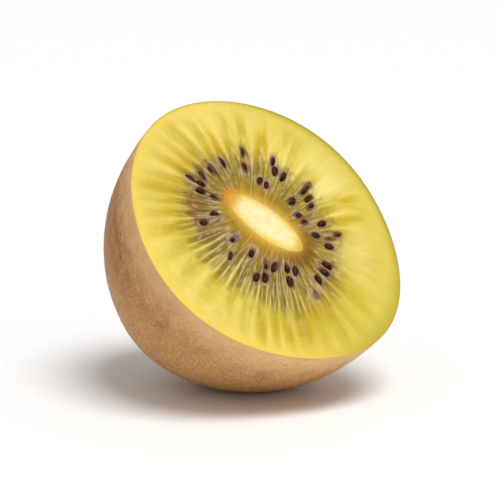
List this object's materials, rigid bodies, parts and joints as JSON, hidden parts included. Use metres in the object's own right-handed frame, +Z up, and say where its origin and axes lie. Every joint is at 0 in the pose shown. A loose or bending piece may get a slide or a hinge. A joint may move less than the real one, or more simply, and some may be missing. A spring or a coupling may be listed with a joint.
{
  "type": "golden kiwi fruit half",
  "caption": "Half of a yellow-fleshed kiwi fruit lying on its thin brown skin, with its pale core, seed chambers and dark seeds on the cut face.",
  "frame": {"origin": "middle of the small flat spot on the skin that the half lies on", "axes": "+Z up; -Y towards the side that the cut face looks to; +X to the right as seen from that side"},
  "size_m": [0.0507, 0.0494, 0.0505],
  "materials": {
    "skin": "satin",
    "flesh": "gloss",
    "core": "satin"
  },
  "bodies": {
    "root": {"skin": "skin", "flesh": "flesh", "core": "core"}
  },
  "joints": []
}
